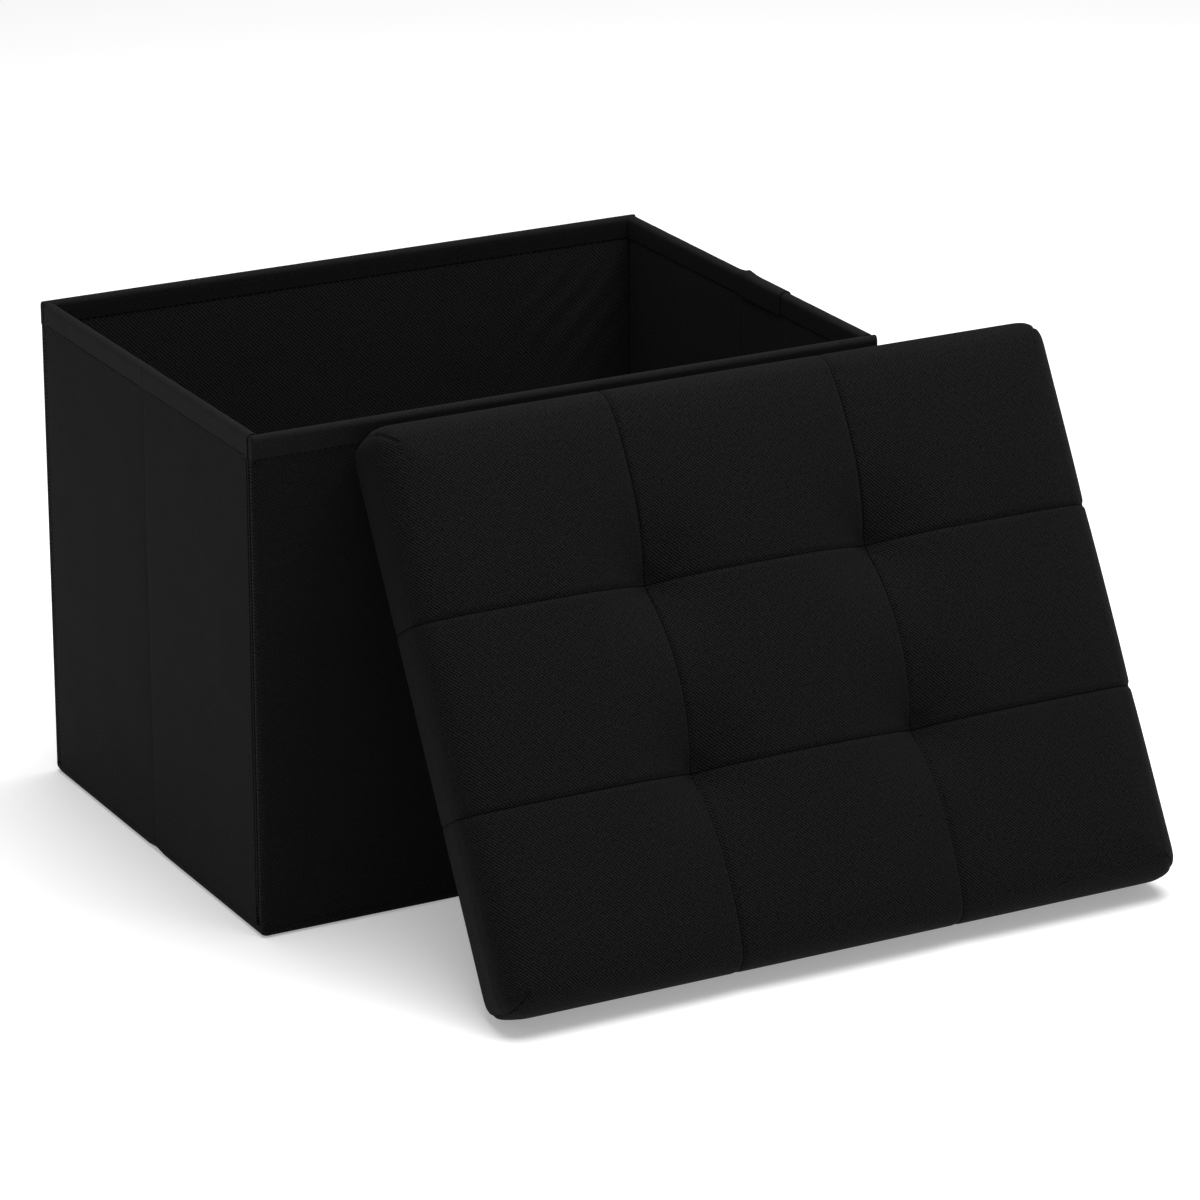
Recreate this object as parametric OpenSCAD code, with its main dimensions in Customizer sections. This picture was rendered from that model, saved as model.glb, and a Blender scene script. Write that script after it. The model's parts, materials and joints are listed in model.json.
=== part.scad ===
// Folding storage ottoman: an open cloth-covered box whose end walls crease
// inward so that it folds flat, a loose base board, and a loose tufted lid.
// The lid is off: it stands on the floor and leans against the front wall.
// Origin: centre of the box's footprint, on the floor. +X to the right, +Y to
// the back, +Z up. Millimetres.

/* [Box] */
// Outside length of the box along the long walls
box_w = 430; // [360:1:600]
// Outside depth of the box
box_d = 320; // [260:1:400]
// Height of the box to the top of the rim
box_h = 320; // [260:1:420]
// Thickness of the stiff board inside each wall
wall_board_t = 5; // [3:0.5:8]
// Thickness of the cover cloth, the lining and the bindings
cloth_t = 1; // [0.6:0.1:1.5]
// Distance of a wall board's edges from the edges of its sewn pocket
pocket_edge = 2.5; // [1.5:0.5:5]
// Height of the binding folded over the rim
rim_binding_h = 15; // [8:1:30]
// Length over which the two ends of the rim binding lap, on the right end wall
binding_lap_l = 50; // [20:1:80]

/* [Fold] */
// Gap between a wall and the end of the panel hinged to it
corner_gap = 1.5; // [1:0.1:3]
// Gap between the two halves of an end wall
crease_gap = 1; // [0.6:0.1:3]
// Distance of the crease's pivot from the outer face of the end wall
crease_pivot_out = 0.5; // [0.4:0.1:1.5]

/* [Base] */
// Thickness of the loose base board
base_board_t = 3; // [2:0.5:6]
// Thickness of the cover of the base board
base_cover_t = 0.5; // [0.3:0.1:1]
// Gap between the edge of the covered base board and the walls
base_side_gap = 2; // [1:0.5:6]
// Free height above and below the covered base board
base_play = 0.8; // [0.5:0.1:2]
// Running gap between the hem of the base cloth and the wall panels
hem_gap = 0.4; // [0.3:0.1:1]

/* [Lid] */
// Distance that the lid reaches past each side of the box
lid_overhang = 15; // [13:1:25]
// Thickness of the lid at its edge
lid_t = 44; // [38:1:80]
// Depth of the lip that drops over the rim of the box
lid_lip_h = 15; // [10:1:20]
// Width of the rails that form the lip
rail_w = 10; // [6:0.5:11]
// Thickness of the lid's board
lid_board_t = 9; // [6:0.5:12]
// Radius of the lid's corners, seen from above
lid_corner_r = 14; // [8:1:24]
// Distance of the lid's foot in front of the box
lid_foot_out = 174; // [100:1:220]
// Gap between the leaning lid and the front wall
lean_gap = 1; // [0.5:0.1:3]
// Distance of the leaning lid's middle to the right of the box's middle
lid_shift = 79; // [0:1:140]

/* [Tufting] */
// Tiles along the lid's long side
tiles_x = 3; // [2:1:5]
// Tiles along the lid's short side
tiles_y = 3; // [2:1:4]
// Radius of a tufting cord
tuft_cord_r = 1.2; // [0.8:0.1:2]
// Radius of the washer that anchors a tufting cord
tuft_washer_r = 7.5; // [5:0.5:10]
// Thickness of that washer
tuft_washer_t = 1.5; // [1:0.1:2]

/* [Staples] */
// Length of a staple's crown
staple_w = 10; // [6:1:13]
// Length of a staple's legs
staple_leg = 6; // [4:1:8]
// Thickness of the staple wire
staple_wire = 0.6; // [0.5:0.1:0.8]
// Largest distance between two staples
staple_pitch = 90; // [40:5:150]

/* [Hidden] */
$fn = 64;

cloth_colour = "#17171a";
lining_colour = "#1d1d20";
board_colour = "#9a8a70";
foam_colour = "#d9d2c0";
steel_colour = "#a9abad";
plastic_colour = "#e6e6e2";
fit_gap = 0.1;       // between two pieces of the lid that lie side by side
hole_gap = 0.3;      // round a tufting cord in its hole
fold_clear = 0.3;    // between the binding's lap and the half wall folded onto it
seam_clear = 0.1;    // between a sewn hinge and the panels beside it

// Walls
wall_t = wall_board_t + 2 * cloth_t;
covered_base_t = base_board_t + 2 * base_cover_t;
wall_z0 = cloth_t + covered_base_t + 2 * base_play;    // underside of the wall panels
wall_h = box_h - wall_z0;
half_w = box_w / 2;
half_d = box_d / 2;
end_l = half_d - wall_t - corner_gap - crease_gap / 2; // length of half an end wall
seam_r = min(corner_gap, 2 * crease_pivot_out) / 2 - seam_clear;
corner_pivot = [half_w - wall_t, half_d - wall_t - corner_gap / 2];
crease_pivot_x = half_w + crease_pivot_out;

// Lid, lying in its own plane: x along the long side, y up the slope from the
// foot, z from the open underside to the cushion
lid_w = box_w + 2 * lid_overhang;
lid_d = box_d + 2 * lid_overhang;
core_w = lid_w - 2 * cloth_t;
core_d = lid_d - 2 * cloth_t;
core_r = lid_corner_r - cloth_t;
board_z0 = lid_lip_h;
foam_z0 = board_z0 + lid_board_t;
foam_h = lid_t - cloth_t - foam_z0;
lean_run = lid_foot_out - lean_gap;
lid_top_z = sqrt(lid_d * lid_d - lean_run * lean_run);
// The lid's top edge leans on the wall, or its back on the rim if it is longer
lean = lid_top_z <= box_h ? asin(lean_run / lid_d) : atan(lean_run / box_h);
tuft_points = [for (i = [1 : tiles_x - 1], j = [1 : tiles_y - 1])
    [lid_w * (i / tiles_x - 0.5), lid_d * j / tiles_y]];

// ---- Wall panels ----

// Puts a panel, drawn along +X with its outer face at y = 0 and its inside
// towards +Y, where it stands on the box
module placed(p) {
    if (p == "front") translate([-half_w, -half_d, 0]) children();
    if (p == "back") mirror([0, 1, 0]) translate([-half_w, -half_d, 0]) children();
    if (p == "left_front") end_half(-1, -1) children();
    if (p == "left_rear") end_half(-1, 1) children();
    if (p == "right_front") end_half(1, -1) children();
    if (p == "right_rear") end_half(1, 1) children();
}

// side_x is -1 for the left end, side_y is -1 for the front half
module end_half(side_x, side_y) {
    mirror([side_x < 0 ? 1 : 0, 0, 0]) mirror([0, side_y < 0 ? 1 : 0, 0])
        translate([half_w, crease_gap / 2, 0]) rotate([0, 0, 90]) children();
}

function panel_l(p) = (p == "front" || p == "back") ? box_w : end_l;

module panel_slab(l, y, t, z, h) {
    translate([0, y, z]) cube([l, t, h]);
}

module panel_board(p) {
    color(board_colour) placed(p) translate([pocket_edge, 0, 0])
        panel_slab(panel_l(p) - 2 * pocket_edge, cloth_t, wall_board_t,
                   wall_z0 + pocket_edge, wall_h - 2 * pocket_edge);
}

module panel_outer_cloth(p) {
    color(cloth_colour) placed(p)
        panel_slab(panel_l(p), 0, cloth_t, wall_z0, wall_h - rim_binding_h);
}

module panel_lining(p) {
    color(lining_colour) placed(p)
        panel_slab(panel_l(p), wall_t - cloth_t, cloth_t, wall_z0, wall_h - rim_binding_h);
}

// A cloth tape folded over the top edge of the panel
module panel_rim_binding(p) {
    color(cloth_colour) placed(p) difference() {
        panel_slab(panel_l(p), 0, wall_t, box_h - rim_binding_h, rim_binding_h);
        translate([-1, cloth_t, box_h - rim_binding_h - 1])
            cube([panel_l(p) + 2, wall_board_t, rim_binding_h - cloth_t + 1]);
    }
}

// The far end of the rim binding, lapped over its start on the right end wall
module binding_lap() {
    lap_t = min(cloth_t / 2, 2 * crease_pivot_out - fold_clear);
    lap_l = min(binding_lap_l, end_l - corner_gap);
    color(cloth_colour) placed("right_front") difference() {
        translate([0, -lap_t, box_h - rim_binding_h])
            cube([lap_l, wall_t + 2 * lap_t, rim_binding_h + lap_t]);
        translate([-1, 0, box_h - rim_binding_h - 1])
            cube([lap_l + 2, wall_t, rim_binding_h + 1]);
    }
}

// ---- Sewn hinges of the fold ----

module seam(x, y) {
    translate([x, y, wall_z0]) cylinder(r = seam_r, h = wall_h - rim_binding_h);
}

module corner_seams(side_y) {
    color(cloth_colour) for (side_x = [-1, 1])
        seam(side_x * corner_pivot[0], side_y * corner_pivot[1]);
}

module crease_seam(side_x) {
    color(cloth_colour) seam(side_x * crease_pivot_x, 0);
}

// ---- Base ----

// Bottom cloth with a stitched hem that runs round under the walls
module base_cloth() {
    hem_h = wall_z0 - hem_gap;
    color(cloth_colour) difference() {
        translate([-half_w, -half_d, 0]) cube([box_w, box_d, hem_h]);
        translate([wall_t - half_w, wall_t - half_d, cloth_t])
            cube([box_w - 2 * wall_t, box_d - 2 * wall_t, hem_h]);
    }
}

covered_base = [box_w - 2 * (wall_t + base_side_gap), box_d - 2 * (wall_t + base_side_gap), covered_base_t];
base_inside = [for (s = covered_base) s - 2 * base_cover_t];
base_mid_z = cloth_t + base_play + covered_base_t / 2;

module base_board() {
    color(board_colour) translate([0, 0, base_mid_z]) cube(base_inside, center = true);
}

module base_board_cover() {
    color(lining_colour) translate([0, 0, base_mid_z]) difference() {
        cube(covered_base, center = true);
        cube(base_inside, center = true);
    }
}

// ---- Lid ----

module leaning() {
    translate([lid_shift, -half_d - lid_foot_out, 0]) rotate([90 - lean, 0, 0]) children();
}

// A rectangle with round corners, standing on its own foot line
module rounded_rect(w, d, r) {
    translate([-w / 2, r]) square([w, d - 2 * r]);
    translate([r - w / 2, 0]) square([w - 2 * r, d]);
    for (x = [r - w / 2, w / 2 - r], y = [r, d - r]) translate([x, y]) circle(r);
}

module core_slab(z, h) {
    translate([0, cloth_t, z]) linear_extrude(h) rounded_rect(core_w, core_d, core_r);
}

module tuft_holes(z, h, r) {
    for (p = tuft_points) translate([p[0], p[1], z]) cylinder(r = r, h = h);
}

module lid_board() {
    color(board_colour) leaning() difference() {
        core_slab(board_z0, lid_board_t);
        tuft_holes(board_z0 - 1, lid_board_t + 2, tuft_cord_r + hole_gap);
        tuft_holes(board_z0 - 1, tuft_washer_t + fit_gap + 1, tuft_washer_r + hole_gap);
    }
}

rail_z0 = cloth_t;
rail_h = board_z0 - rail_z0;
inner_d = core_d - 2 * rail_w;

// side_y is -1 for the rail at the foot of the lid
module long_rail(side_y) {
    y = side_y < 0 ? cloth_t : lid_d - cloth_t - rail_w;
    color(board_colour) leaning() intersection() {
        core_slab(rail_z0, rail_h);
        translate([-core_w / 2, y, rail_z0]) cube([core_w, rail_w, rail_h]);
    }
}

module short_rail(side_x) {
    x = side_x < 0 ? -core_w / 2 : core_w / 2 - rail_w;
    color(board_colour) leaning()
        translate([x, cloth_t + rail_w + fit_gap, rail_z0]) cube([rail_w, inner_d - 2 * fit_gap, rail_h]);
}

module lid_foam() {
    color(foam_colour) leaning() difference() {
        core_slab(foam_z0, foam_h);
        tuft_holes(foam_z0 - 1, foam_h + 2, tuft_cord_r + hole_gap);
    }
}

// Cover over the foam, down the sides and turned under the rails
module lid_cover() {
    color(cloth_colour) leaning() difference() {
        linear_extrude(lid_t) rounded_rect(lid_w, lid_d, lid_corner_r);
        core_slab(cloth_t, lid_t - 2 * cloth_t);
        translate([rail_w - core_w / 2, cloth_t + rail_w, -1])
            cube([core_w - 2 * rail_w, inner_d, cloth_t + 2]);
    }
}

// Lining over the underside of the board, between the rails
module lid_lining() {
    color(lining_colour) leaning()
        translate([rail_w + fit_gap - core_w / 2, cloth_t + rail_w + fit_gap, board_z0 - cloth_t])
            cube([core_w - 2 * (rail_w + fit_gap), inner_d - 2 * fit_gap, cloth_t]);
}

module tuft_cords() {
    cord_z0 = board_z0 + tuft_washer_t;
    color(cloth_colour) leaning() tuft_holes(cord_z0, lid_t - cloth_t - cord_z0, tuft_cord_r);
}

module tuft_washers() {
    color(plastic_colour) leaning() tuft_holes(board_z0, tuft_washer_t, tuft_washer_r);
}

// A staple along x: crown in the turned cloth, legs up into the rail
module staple() {
    translate([-staple_w / 2, -staple_wire / 2, cloth_t - staple_wire])
        cube([staple_w, staple_wire, staple_wire]);
    for (x = [-staple_w / 2, staple_w / 2 - staple_wire])
        translate([x, -staple_wire / 2, cloth_t - staple_wire])
            cube([staple_wire, staple_wire, staple_leg]);
}

// Places spread evenly over a length, no further apart than the staple pitch
function spread(l) = let (n = ceil(l / staple_pitch)) [for (i = [0 : n - 1]) l * ((i + 0.5) / n - 0.5)];

module lid_staples() {
    rail_mid = rail_w / 2 + cloth_t;
    color(steel_colour) leaning() {
        for (x = spread(lid_w - 4 * rail_w), y = [rail_mid, lid_d - rail_mid])
            translate([x, y, 0]) staple();
        for (y = spread(lid_d - 4 * rail_w), x = [rail_mid - lid_w / 2, lid_w / 2 - rail_mid])
            translate([x, lid_d / 2 + y, 0]) rotate([0, 0, 90]) staple();
    }
}

// ---- Nodes ----

panel_board("front");  // front_board
panel_outer_cloth("front");  // front_outer_cloth
panel_lining("front");  // front_lining
panel_rim_binding("front");  // front_rim_binding
panel_board("back");  // back_board
panel_outer_cloth("back");  // back_outer_cloth
panel_lining("back");  // back_lining
panel_rim_binding("back");  // back_rim_binding
panel_board("left_front");  // left_front_board
panel_outer_cloth("left_front");  // left_front_outer_cloth
panel_lining("left_front");  // left_front_lining
panel_rim_binding("left_front");  // left_front_rim_binding
panel_board("left_rear");  // left_rear_board
panel_outer_cloth("left_rear");  // left_rear_outer_cloth
panel_lining("left_rear");  // left_rear_lining
panel_rim_binding("left_rear");  // left_rear_rim_binding
panel_board("right_front");  // right_front_board
panel_outer_cloth("right_front");  // right_front_outer_cloth
panel_lining("right_front");  // right_front_lining
panel_rim_binding("right_front");  // right_front_rim_binding
panel_board("right_rear");  // right_rear_board
panel_outer_cloth("right_rear");  // right_rear_outer_cloth
panel_lining("right_rear");  // right_rear_lining
panel_rim_binding("right_rear");  // right_rear_rim_binding
binding_lap();
corner_seams(-1);  // front_corner_seams
corner_seams(1);  // rear_corner_seams
crease_seam(-1);  // left_crease_seam
crease_seam(1);  // right_crease_seam
base_cloth();
base_board();
base_board_cover();
lid_board();
long_rail(-1);  // lid_front_rail
long_rail(1);  // lid_back_rail
short_rail(-1);  // lid_left_rail
short_rail(1);  // lid_right_rail
lid_foam();
lid_cover();
lid_lining();
tuft_cords();
tuft_washers();
lid_staples();
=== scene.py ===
"""Cloth, padding, materials, light and camera for the folding storage ottoman.

Every cloth part is made here in place of its plain CAD solid: the cover cloth, the lining and the
rim binding of the six wall panels, the sewn corners, the base cloth, the cover of the base board
and the tufted lid. The boards, rails, staples and washers are the CAD parts. Lengths are in metres.
"""

import json
import math

import bpy
import numpy as np
from mathutils import Matrix, Vector
from mathutils.bvhtree import BVHTree

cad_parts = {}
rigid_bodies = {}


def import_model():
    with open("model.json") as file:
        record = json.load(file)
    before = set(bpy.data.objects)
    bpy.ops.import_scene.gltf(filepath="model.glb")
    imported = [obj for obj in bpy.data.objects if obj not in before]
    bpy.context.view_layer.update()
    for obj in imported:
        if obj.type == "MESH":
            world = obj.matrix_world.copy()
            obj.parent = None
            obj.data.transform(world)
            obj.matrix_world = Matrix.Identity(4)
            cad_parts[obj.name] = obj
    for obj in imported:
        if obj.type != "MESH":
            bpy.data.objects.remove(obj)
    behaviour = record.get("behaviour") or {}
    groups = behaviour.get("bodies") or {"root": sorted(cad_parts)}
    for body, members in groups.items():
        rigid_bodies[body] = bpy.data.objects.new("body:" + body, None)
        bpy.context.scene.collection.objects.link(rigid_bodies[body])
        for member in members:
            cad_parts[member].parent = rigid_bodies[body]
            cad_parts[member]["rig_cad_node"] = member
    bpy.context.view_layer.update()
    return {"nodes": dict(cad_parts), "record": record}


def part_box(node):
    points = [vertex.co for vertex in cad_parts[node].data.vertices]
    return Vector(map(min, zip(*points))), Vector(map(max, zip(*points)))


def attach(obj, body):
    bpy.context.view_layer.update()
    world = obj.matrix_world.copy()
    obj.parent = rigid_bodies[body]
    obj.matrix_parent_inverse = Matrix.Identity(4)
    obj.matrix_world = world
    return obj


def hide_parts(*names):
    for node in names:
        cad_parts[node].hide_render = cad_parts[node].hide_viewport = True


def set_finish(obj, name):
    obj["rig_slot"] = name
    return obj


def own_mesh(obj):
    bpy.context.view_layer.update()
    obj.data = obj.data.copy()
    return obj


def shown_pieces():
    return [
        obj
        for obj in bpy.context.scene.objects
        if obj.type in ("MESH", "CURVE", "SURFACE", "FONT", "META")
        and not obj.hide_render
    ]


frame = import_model()

MM = 0.001
CLOTH_T = 0.8 * MM        # thickness of the cloth as it shows
THIN_T = 0.5 * MM         # thickness of the binding and the base cloth
CUT_EDGE = math.radians(40)   # an edge that turns more than this is a cut edge, not a fold
PROUD = 0.15 * MM         # how far the rim binding stands out from the cloth under it
ARC_STEPS = 5             # segments of a rounded cloth edge
GRID_STEP = 5 * MM        # mesh spacing on the wall cloths
EDGE_STEP = 0.3 * MM      # width of the narrow strip of mesh beside a rounded edge


# ---- Meshes ----

def finish_object(name, mesh, body, slot, replaced=()):
    """Links the mesh as a piece that rides on a body and stands for CAD nodes."""
    piece = bpy.data.objects.new(name, mesh)
    bpy.context.scene.collection.objects.link(piece)
    for polygon in mesh.polygons:
        polygon.use_smooth = True
    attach(piece, body)
    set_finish(piece, slot)
    if replaced:
        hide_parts(*replaced)
    return piece


def store_weave(mesh, coords):
    """Keeps each vertex's place on the flat cloth, in metres, for the weave."""
    layer = mesh.attributes.new("weave", "FLOAT_VECTOR", "POINT")
    layer.data.foreach_set("vector", np.asarray(coords, np.float32).ravel())


def grid_faces(rows, columns, closed=False, first=0):
    """Quads of a grid whose vertices are numbered row by row."""
    faces = []
    for i in range(rows - 1):
        for j in range(columns if closed else columns - 1):
            k = (j + 1) % columns
            faces.append((first + i * columns + j, first + i * columns + k,
                          first + (i + 1) * columns + k, first + (i + 1) * columns + j))
    return faces


def apply_modifiers(piece):
    """Turns a piece's modifiers into plain mesh."""
    bpy.context.view_layer.update()
    depsgraph = bpy.context.evaluated_depsgraph_get()
    mesh = bpy.data.meshes.new_from_object(piece.evaluated_get(depsgraph), preserve_all_data_layers=True,
                                           depsgraph=depsgraph)
    old = piece.data
    piece.modifiers.clear()
    piece.data = mesh
    bpy.data.meshes.remove(old)


def thicken(piece, thickness):
    """Gives a cloth its thickness, behind the face that shows."""
    solid = piece.modifiers.new("thickness", "SOLIDIFY")
    solid.thickness = thickness
    solid.offset = -1
    apply_modifiers(piece)
    piece.data.set_sharp_from_angle(angle=CUT_EDGE)


def cloth_sheet(name, points, coords, body, slot, replaced, thickness=CLOTH_T, flip=False):
    """A cloth made from a grid of points, with the front of the quads outwards."""
    rows, columns = points.shape[:2]
    faces = grid_faces(rows, columns)
    if flip:
        faces = [face[::-1] for face in faces]
    mesh = bpy.data.meshes.new(name)
    mesh.from_pydata(points.reshape(-1, 3).tolist(), [], faces)
    store_weave(mesh, coords.reshape(-1, 3))
    piece = finish_object(name, mesh, body, slot, replaced)
    thicken(piece, thickness)
    return piece


def ripple(u, v, seed, shortest=30 * MM, longest=110 * MM, waves=7):
    """A smooth unevenness between 0 and 1 over a cloth's flat coordinates."""
    rng = np.random.default_rng(seed)
    total = np.zeros_like(u)
    for _ in range(waves):
        turn = rng.uniform(0, math.pi)
        length = rng.uniform(shortest, longest)
        phase = rng.uniform(0, 2 * math.pi)
        total += np.sin(2 * math.pi * (u * math.cos(turn) + v * math.sin(turn)) / length + phase)
    return np.clip(0.5 + total / waves, 0, 1)


def rounded_span(low, high, r_low, r_high, step=GRID_STEP):
    """Places along a span and the cosine of the surface's turn, which falls to 0 at a rounded end.

    An end whose radius is None stays open, without a turn. A narrow strip beside each end keeps
    the shading of the straight part flat.
    """
    places, cosines = [], []
    if r_low is not None:
        for k in range(ARC_STEPS):
            turn = math.pi / 2 * (1 - k / ARC_STEPS)
            places.append(low + r_low * (1 - math.sin(turn)))
            cosines.append(math.cos(turn))
    start = low + (r_low or 0)
    end = high - (r_high or 0)
    count = max(2, round((end - start) / step))
    straight = [start + (end - start) * k / count for k in range(count + 1)]
    places += [start, start + EDGE_STEP] + straight[1:-1] + [end - EDGE_STEP, end]
    cosines += [1] * (count + 3)
    if r_high is not None:
        for k in range(1, ARC_STEPS + 1):
            turn = math.pi / 2 * k / ARC_STEPS
            places.append(high - r_high * (1 - math.sin(turn)))
            cosines.append(math.cos(turn))
    return np.array(places), np.array(cosines)


def bell(distance, width):
    """1 at no distance, falling smoothly to almost 0 beyond twice the width."""
    return np.exp(-(distance / width) ** 2)


# ---- Wall panels ----

OUTER_END_R = 3.5 * MM    # rounding of a long wall's end, seen as a band at the box's corner
SEWN_END_R = 1.0 * MM     # rounding beside a sewn corner
CREASE_END_R = 0.3 * MM   # rounding beside the crease of an end wall
CREASE_REACH = 0.46 * MM  # how far the cloth goes past the panel at the crease
CORNER_REACH = 1.05 * MM  # how far the rim binding of an end wall goes on at the corner
BOTTOM_R = 0.2 * MM       # rounding of the cloth above the hem of the base
BOTTOM_REACH = 0.5 * MM   # how far the cloth goes below the panel, down to the hem
UNDER_BINDING = 3 * MM    # how far the cloth goes on up under the binding
END_BOW = 0.6 * MM        # how far the end walls belly outwards
LONG_BOW = 0.5 * MM       # how far the front and back walls belly outwards
UNEVEN = 0.5 * MM         # height of the cloth's unevenness


class Panel:
    """One of the six wall panels, placed by its CAD nodes.

    A point has s along the wall, d inwards from the outer face and z up.
    """

    def __init__(self, name, body, axis, outside, ends, bow, seed):
        """axis is 0 or 1, the way that the wall runs, and outside the sign of its outer face."""
        self.name = name
        self.body = body
        rim_low, rim_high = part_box(name + "_rim_binding")
        self.axis = axis
        self.side = 1 - axis
        self.long = axis == 0
        self.inward = -outside
        self.s0 = rim_low[axis]
        self.length = rim_high[axis] - rim_low[axis]
        self.outer = rim_high[self.side] if outside > 0 else rim_low[self.side]
        self.t = rim_high[self.side] - rim_low[self.side]
        self.z0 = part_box(name + "_outer_cloth")[0].z
        self.z_binding = rim_low.z
        self.z1 = rim_high.z
        self.ends = ends
        self.bow = bow
        self.seed = seed

    def place(self, s, d, z):
        """Points of the frame from places on the panel."""
        points = np.zeros(np.broadcast(s, d, z).shape + (3,))
        points[..., self.axis] = self.s0 + s
        points[..., self.side] = self.outer + self.inward * d
        points[..., 2] = z
        return points

    def faces_flip(self, outer_face):
        """True where the grid's quads would look into the wall."""
        turned = self.long == (self.inward > 0)
        return turned != outer_face

    def cloth_span(self, at_corner=0.0):
        """Where the cloth starts and ends: the two halves of an end wall nearly meet at the crease."""
        if self.long:
            return 0.0, self.length
        if self.name.endswith("front"):
            return -at_corner, self.length + CREASE_REACH
        return -CREASE_REACH, self.length + at_corner

    def swell(self, s, z):
        """1 in the middle of the panel, falling to 0 at its edges."""
        u = s / self.length
        v = (z - self.z0) / (self.z1 - self.z0)
        return np.clip(4 * u * (1 - u), 0, 1) ** 0.5 * np.clip(4 * v * (1 - v), 0, 1) ** 0.5


def panel_cloth(panel, inner):
    """The cover cloth, or the lining on the inside, of a panel."""
    s, turn_s = rounded_span(*panel.cloth_span(), *panel.ends)
    z, turn_z = rounded_span(panel.z0 - BOTTOM_REACH, panel.z_binding + UNDER_BINDING, BOTTOM_R, None)
    s, z = np.meshgrid(s, z)
    turn = np.outer(turn_z, turn_s)
    seed = panel.seed + (50 if inner else 0)
    stand_off = UNEVEN * ripple(s, z, seed) * panel.swell(s, z)
    if inner and panel.name == "back":
        stand_off += corner_wrinkles(panel, s, z)
    if not inner:
        stand_off += panel.bow * panel.swell(s, z)
    fade = UNDER_BINDING if inner else 30 * MM
    stand_off *= np.clip((panel.z_binding - z) / fade, 0, 1) ** 0.7
    half = panel.t / 2
    reach = (half + stand_off) * turn
    d = half + reach if inner else half - reach
    points = panel.place(s, d, z)
    coords = np.stack([s, z, np.zeros_like(s)], axis=-1)
    layer = "_lining" if inner else "_outer_cloth"
    piece = cloth_sheet(panel.name + layer + "_sewn", points, coords, panel.body,
                        "lining_cloth" if inner else "cover_cloth", [panel.name + layer],
                        flip=panel.faces_flip(not inner))


WRINKLE_H = 1.2 * MM      # height of the wrinkles in the back wall's lining
WRINKLE_SPACING = 13 * MM
WRINKLE_WAY = (0.62, 0.78)   # their direction, from the corner along the wall and down


def corner_wrinkles(panel, s, z):
    """Soft diagonal folds that run from the back wall's right corner across the lining."""
    from_corner = panel.length - s
    from_top = panel.z_binding - z
    along = from_corner * WRINKLE_WAY[0] + from_top * WRINKLE_WAY[1]
    across = from_corner * WRINKLE_WAY[1] - from_top * WRINKLE_WAY[0]
    spacing = WRINKLE_SPACING + 0.06 * along
    folds = 0.5 + 0.5 * np.sin(2 * math.pi * across / spacing + 0.9 * np.sin(along / (19 * MM)))
    reach = bell(from_corner - 45 * MM, 45 * MM) * bell(from_top - 45 * MM, 50 * MM)
    reach *= np.clip(from_top / (14 * MM), 0, 1)
    return WRINKLE_H * folds ** 2 * reach


CLOSED_END = 0.05         # share of its width that the binding keeps where its end is closed
LONG_END_SHARE = 0.3      # share of its width left at the end of a long wall's rounding
SHORT_END_SHARE = 0.85
END_DROP = 0.4 * MM       # how far the binding's top drops at its ends
BINDING_WAVES = 0.18 * MM   # height of the binding's unevenness


def rim_profile(half, top_r, height, steps=7):
    """Half section of the binding, from its lower edge to the middle of its top."""
    across, up = [half, half], [-height, EDGE_STEP - height]
    for k in range(1, 4):
        across.append(half)
        up.append((height - top_r) * k / 3 - height)
    for k in range(1, steps + 1):
        turn = math.pi / 2 * k / steps
        across.append(half - top_r + top_r * math.cos(turn))
        up.append(-top_r + top_r * math.sin(turn))
    return np.array(across), np.array(up)


def rim_binding(panel, name, replaced, span, ends, proud, height, bump):
    """A tape folded over the top of a panel, closed at its ends."""
    s, turn_s = rounded_span(span[0], span[1], ends[0], ends[1], step=4 * MM)
    s = np.pad(s, 1, mode="edge")
    turn_s = np.pad(turn_s, 1, mode="edge")
    half = panel.t / 2 + proud
    across, up = rim_profile(half, panel.t / 2, height)
    across = np.concatenate([-across, across[-2::-1]])
    up = np.concatenate([up, up[-2::-1]])
    s, across = np.meshgrid(s, across)
    turn, up = np.meshgrid(turn_s, up)
    waves = BINDING_WAVES * (ripple(s, up, panel.seed + 90, 9 * MM, 40 * MM) - 0.5)
    end_share = LONG_END_SHARE if panel.long else SHORT_END_SHARE
    narrow = end_share + (1 - end_share) * turn
    narrow[:, [0, -1]] = CLOSED_END
    end_drop = END_DROP * (1 - turn)
    top_share = np.clip((up + height) / height, 0, 1)
    d = panel.t / 2 + (across + waves * np.sign(across)) * narrow
    z = panel.z1 + proud + up - end_drop * top_share + bump(s) * top_share ** 2
    points = panel.place(s, d, z)
    run = np.cumsum(np.hypot(np.diff(across[:, 0], prepend=across[0, 0]),
                             np.diff(up[:, 0], prepend=up[0, 0])))
    coords = np.stack([s, np.broadcast_to(run[:, None], s.shape), np.zeros_like(s)], axis=-1)
    piece = cloth_sheet(name, points, coords, panel.body, "rim_binding", replaced,
                        thickness=THIN_T, flip=panel.faces_flip(True))


STITCH_L = 3.2 * MM
STITCH_PITCH = 4.4 * MM
STITCH_UP = 0.9 * MM      # height of the stitches above the binding's lower edge
THREAD_R = 0.24 * MM


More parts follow.
